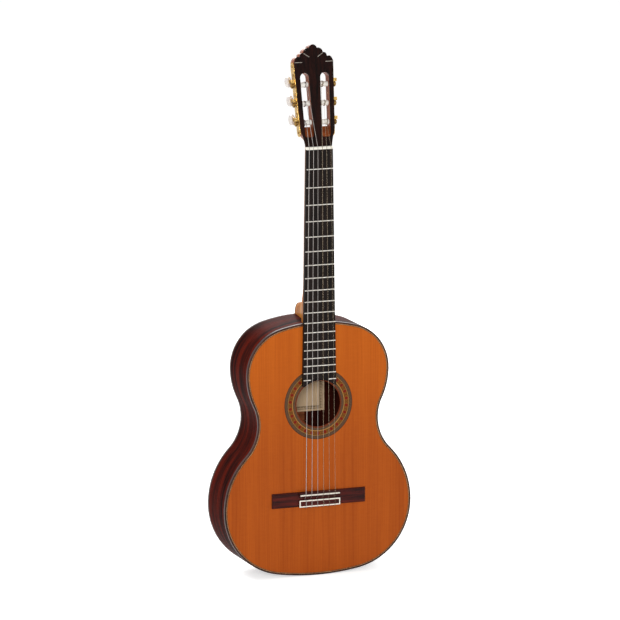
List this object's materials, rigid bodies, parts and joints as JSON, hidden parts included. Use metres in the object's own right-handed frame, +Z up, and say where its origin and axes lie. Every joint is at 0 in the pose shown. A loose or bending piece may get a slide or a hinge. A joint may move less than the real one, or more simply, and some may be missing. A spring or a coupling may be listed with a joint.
{
  "type": "classical guitar",
  "caption": "Classical guitar with a slotted head, geared tuners that wind their string rollers, a rosette, a tie bridge and a hollow braced body.",
  "frame": {"origin": "on the neck's back, on the centre line, level with the nut's front edge, where a hanger's yoke bears", "axes": "+Z up the neck towards the head, +Y from the soundboard to the back, +X to the treble side"},
  "size_m": [0.372, 0.1116, 0.9987],
  "materials": {
    "soundboard": "gloss",
    "purfling_top": "gloss",
    "rosette": "gloss",
    "binding_top": "gloss",
    "binding_back": "gloss",
    "back": "gloss",
    "back_centre_strip": "gloss",
    "treble_side": "gloss",
    "bass_side": "gloss",
    "end_strip": "gloss",
    "end_block": "satin",
    "linings": "satin",
    "soundboard_braces": "satin",
    "back_braces": "satin",
    "back_inner_strip": "satin",
    "label": "matt paper",
    "neck": "gloss",
    "heel_cap": "gloss",
    "head": "gloss",
    "head_veneer": "gloss",
    "head_inlays": "gloss",
    "fingerboard": "satin",
    "frets": "polished",
    "nut": "polished bone",
    "saddle": "polished bone",
    "bridge": "satin",
    "tie_block_trim": "polished bone",
    "tuner_plate": "polished",
    "plate_screws": "polished",
    "gear": "polished",
    "worm": "polished",
    "roller": "gloss",
    "button": "pearl",
    "nylon_string": "clear nylon",
    "wound_string": "silver-plated winding"
  },
  "bodies": {
    "guitar": {"soundboard": "soundboard", "purfling_top": "purfling_top", "rosette": "rosette", "binding_top": "binding_top", "binding_back": "binding_back", "back": "back", "back_centre_strip": "back_centre_strip", "treble_side": "treble_side", "bass_side": "bass_side", "end_strip": "end_strip", "end_block": "end_block", "linings": "linings", "soundboard_braces": "soundboard_braces", "back_braces": "back_braces", "back_inner_strip": "back_inner_strip", "label": "label", "neck": "neck", "heel_cap": "heel_cap", "head": "head", "head_veneer": "head_veneer", "head_inlays": "head_inlays", "fingerboard": "fingerboard", "frets": "frets", "nut": "nut", "saddle": "saddle", "bridge": "bridge", "tie_block_trim": "tie_block_trim", "tuner_plate_bass": "tuner_plate", "tuner_plate_treble": "tuner_plate", "plate_screws": "plate_screws", "string_e6": "wound_string", "string_a5": "wound_string", "string_d4": "wound_string", "string_g3": "nylon_string", "string_b2": "nylon_string", "string_e1": "nylon_string"},
    "knob_e6": {"button_e6": "button", "worm_e6": "worm"},
    "post_e6": {"roller_e6": "roller", "gear_e6": "gear"},
    "knob_a5": {"button_a5": "button", "worm_a5": "worm"},
    "post_a5": {"roller_a5": "roller", "gear_a5": "gear"},
    "knob_d4": {"button_d4": "button", "worm_d4": "worm"},
    "post_d4": {"roller_d4": "roller", "gear_d4": "gear"},
    "knob_g3": {"button_g3": "button", "worm_g3": "worm"},
    "post_g3": {"roller_g3": "roller", "gear_g3": "gear"},
    "knob_b2": {"button_b2": "button", "worm_b2": "worm"},
    "post_b2": {"roller_b2": "roller", "gear_b2": "gear"},
    "knob_e1": {"button_e1": "button", "worm_e1": "worm"},
    "post_e1": {"roller_e1": "roller", "gear_e1": "gear"}
  },
  "joints": [
    {"name": "turn_knob_e6", "type": "hinge", "parent": "guitar", "child": "knob_e6", "pos_m": [-0.03909, 0.00231, 0.05401], "axis": [0, -0.9848, 0.1736], "continuous": true},
    {"name": "turn_post_e6", "type": "hinge", "parent": "guitar", "child": "post_e6", "pos_m": [-0.034, 0.00104, 0.04682], "axis": [-0.9992, -0.0069, -0.0394], "continuous": true},
    {"name": "turn_knob_a5", "type": "hinge", "parent": "guitar", "child": "knob_a5", "pos_m": [-0.04049, 0.00839, 0.08847], "axis": [0, -0.9848, 0.1736], "continuous": true},
    {"name": "turn_post_a5", "type": "hinge", "parent": "guitar", "child": "post_a5", "pos_m": [-0.0354, 0.00712, 0.08128], "axis": [-0.9992, -0.0069, -0.0394], "continuous": true},
    {"name": "turn_knob_d4", "type": "hinge", "parent": "guitar", "child": "knob_d4", "pos_m": [-0.04189, 0.01447, 0.12294], "axis": [0, -0.9848, 0.1736], "continuous": true},
    {"name": "turn_post_d4", "type": "hinge", "parent": "guitar", "child": "post_d4", "pos_m": [-0.0368, 0.0132, 0.11575], "axis": [-0.9992, -0.0069, -0.0394], "continuous": true},
    {"name": "turn_knob_g3", "type": "hinge", "parent": "guitar", "child": "knob_g3", "pos_m": [0.04189, 0.01447, 0.12294], "axis": [0, -0.9848, 0.1736], "continuous": true},
    {"name": "turn_post_g3", "type": "hinge", "parent": "guitar", "child": "post_g3", "pos_m": [0.0368, 0.0132, 0.11575], "axis": [0.9992, -0.0069, -0.0394], "continuous": true},
    {"name": "turn_knob_b2", "type": "hinge", "parent": "guitar", "child": "knob_b2", "pos_m": [0.04049, 0.00839, 0.08847], "axis": [0, -0.9848, 0.1736], "continuous": true},
    {"name": "turn_post_b2", "type": "hinge", "parent": "guitar", "child": "post_b2", "pos_m": [0.0354, 0.00712, 0.08128], "axis": [0.9992, -0.0069, -0.0394], "continuous": true},
    {"name": "turn_knob_e1", "type": "hinge", "parent": "guitar", "child": "knob_e1", "pos_m": [0.03909, 0.00231, 0.05401], "axis": [0, -0.9848, 0.1736], "continuous": true},
    {"name": "turn_post_e1", "type": "hinge", "parent": "guitar", "child": "post_e1", "pos_m": [0.034, 0.00104, 0.04682], "axis": [0.9992, -0.0069, -0.0394], "continuous": true}
  ],
  "couplings": [
    {"joint": "turn_post_e6", "follows": "turn_knob_e6", "ratio": -0.071429},
    {"joint": "turn_post_a5", "follows": "turn_knob_a5", "ratio": -0.071429},
    {"joint": "turn_post_d4", "follows": "turn_knob_d4", "ratio": -0.071429},
    {"joint": "turn_post_g3", "follows": "turn_knob_g3", "ratio": -0.071429},
    {"joint": "turn_post_b2", "follows": "turn_knob_b2", "ratio": -0.071429},
    {"joint": "turn_post_e1", "follows": "turn_knob_e1", "ratio": -0.071429}
  ]
}
